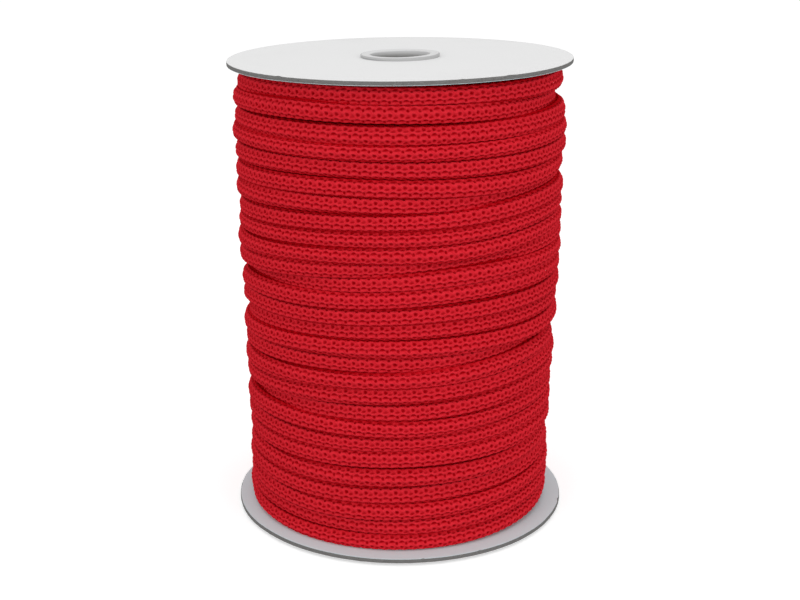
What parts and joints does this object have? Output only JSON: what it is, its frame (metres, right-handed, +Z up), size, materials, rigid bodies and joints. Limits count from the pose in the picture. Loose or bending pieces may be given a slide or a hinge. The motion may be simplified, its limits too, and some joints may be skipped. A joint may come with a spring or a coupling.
{
  "type": "rope reel",
  "caption": "Upright reel of red knitted rope: round white-faced board flanges clamped on a core tube with a through bore, wound full of level turns.",
  "frame": {"origin": "centre of the bore, on the plane that the lower rim stands on", "axes": "+Z up along the bore, -Y towards the front; the rope's end lies at the back, at +Y"},
  "size_m": [0.15, 0.15, 0.2066],
  "materials": {
    "knitted_rope": "matt knitted synthetic yarn",
    "sealed_rope": "heat-sealed rope end, slightly glossy",
    "grey_board": "raw fibrous grey board",
    "white_facing": "smooth white liner paper",
    "rim_paper": "pale paper tube, rolled at its ends",
    "brown_board": "spiral-wound brown paper tube"
  },
  "bodies": {
    "root": {"top_flange_board": "grey_board", "bottom_flange_board": "grey_board", "top_flange_outer_facing": "white_facing", "top_flange_inner_facing": "white_facing", "bottom_flange_outer_facing": "white_facing", "bottom_flange_inner_facing": "white_facing", "core_tube": "rim_paper", "spacer_barrel": "brown_board", "top_centring_disc": "grey_board", "bottom_centring_disc": "grey_board", "rope_end": "sealed_rope", "rope_layer_1": "knitted_rope", "rope_layer_2": "knitted_rope", "rope_layer_3": "knitted_rope", "rope_layer_4": "knitted_rope", "rope_layer_5": "knitted_rope", "rope_layer_6": "knitted_rope", "rope_layer_7": "knitted_rope", "rope_layer_8": "knitted_rope", "rope_layer_9": "knitted_rope"}
  },
  "joints": []
}
